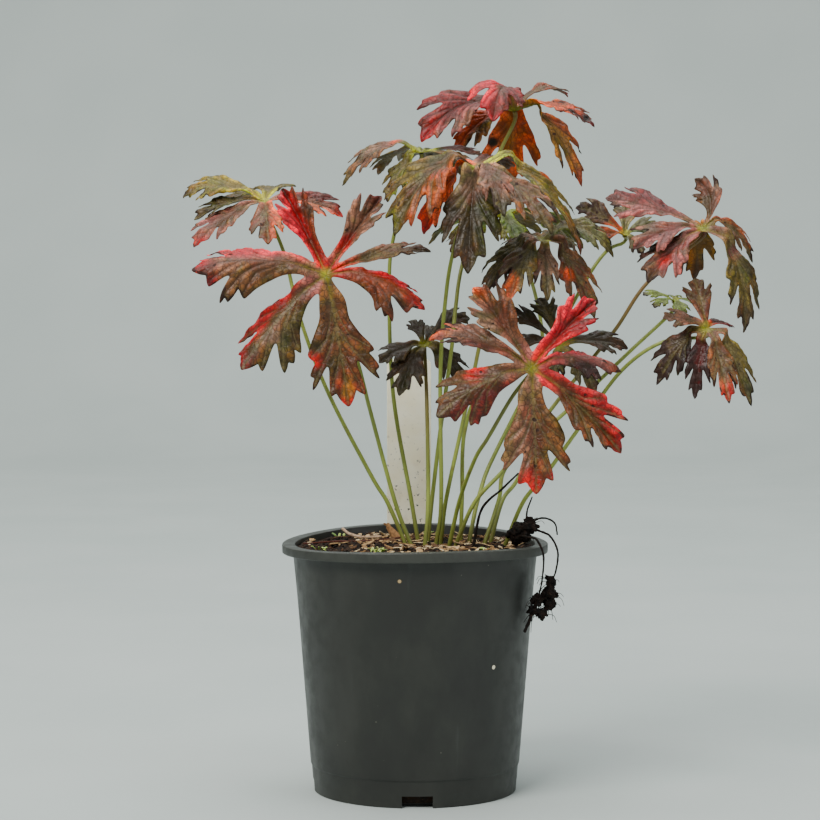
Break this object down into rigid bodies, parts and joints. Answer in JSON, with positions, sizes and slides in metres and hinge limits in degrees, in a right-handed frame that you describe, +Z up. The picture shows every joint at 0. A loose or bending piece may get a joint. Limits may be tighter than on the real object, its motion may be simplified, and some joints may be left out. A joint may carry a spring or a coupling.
{
  "type": "hardy geranium in a pot",
  "caption": "Hardy geranium with lobed autumn leaves on long stalks, standing in a round nursery pot of soil with a blank label.",
  "frame": {"origin": "middle of the pot's flat base", "axes": "+Z up along the pot's axis, -Y towards the side the picture shows, +X to its right"},
  "size_m": [0.2871, 0.1888, 0.3547],
  "materials": {
    "pot_plastic": "satin, lightly scuffed",
    "soil_mix": "rough, crumbly",
    "label_plastic": "smooth with soil specks",
    "root_dark": "rough",
    "dead_stem_brown": "dry",
    "stalk_green": "smooth, fresh",
    "leaf_bronze": "satin leaf, veined",
    "leaf_olive": "satin leaf, veined",
    "leaf_plum": "satin leaf, veined",
    "leaf_crimson": "satin leaf, veined",
    "leaf_fresh": "satin leaf, veined"
  },
  "bodies": {
    "root": {"pot": "pot_plastic", "soil": "soil_mix", "label": "label_plastic", "root_tangle": "root_dark", "dead_stem": "dead_stem_brown", "petiole_left_front": "stalk_green", "petiole_left_back": "stalk_green", "petiole_upper_left": "stalk_green", "petiole_centre": "stalk_green", "petiole_top": "stalk_green", "petiole_mid_right": "stalk_green", "petiole_front": "stalk_green", "petiole_low_left": "stalk_green", "petiole_low_right": "stalk_green", "petiole_right_high": "stalk_green", "petiole_right_inner": "stalk_green", "petiole_right_low": "stalk_green", "petiole_pale_small": "stalk_green", "petiole_back": "stalk_green", "blade_left_front": "leaf_bronze", "blade_left_back": "leaf_olive", "blade_upper_left": "leaf_olive", "blade_centre": "leaf_plum", "blade_top": "leaf_crimson", "blade_mid_right": "leaf_plum", "blade_front": "leaf_crimson", "blade_low_left": "leaf_olive", "blade_low_right": "leaf_olive", "blade_right_high": "leaf_bronze", "blade_right_inner": "leaf_olive", "blade_right_low": "leaf_plum", "blade_pale_small": "leaf_fresh", "blade_back": "leaf_fresh"}
  },
  "joints": []
}
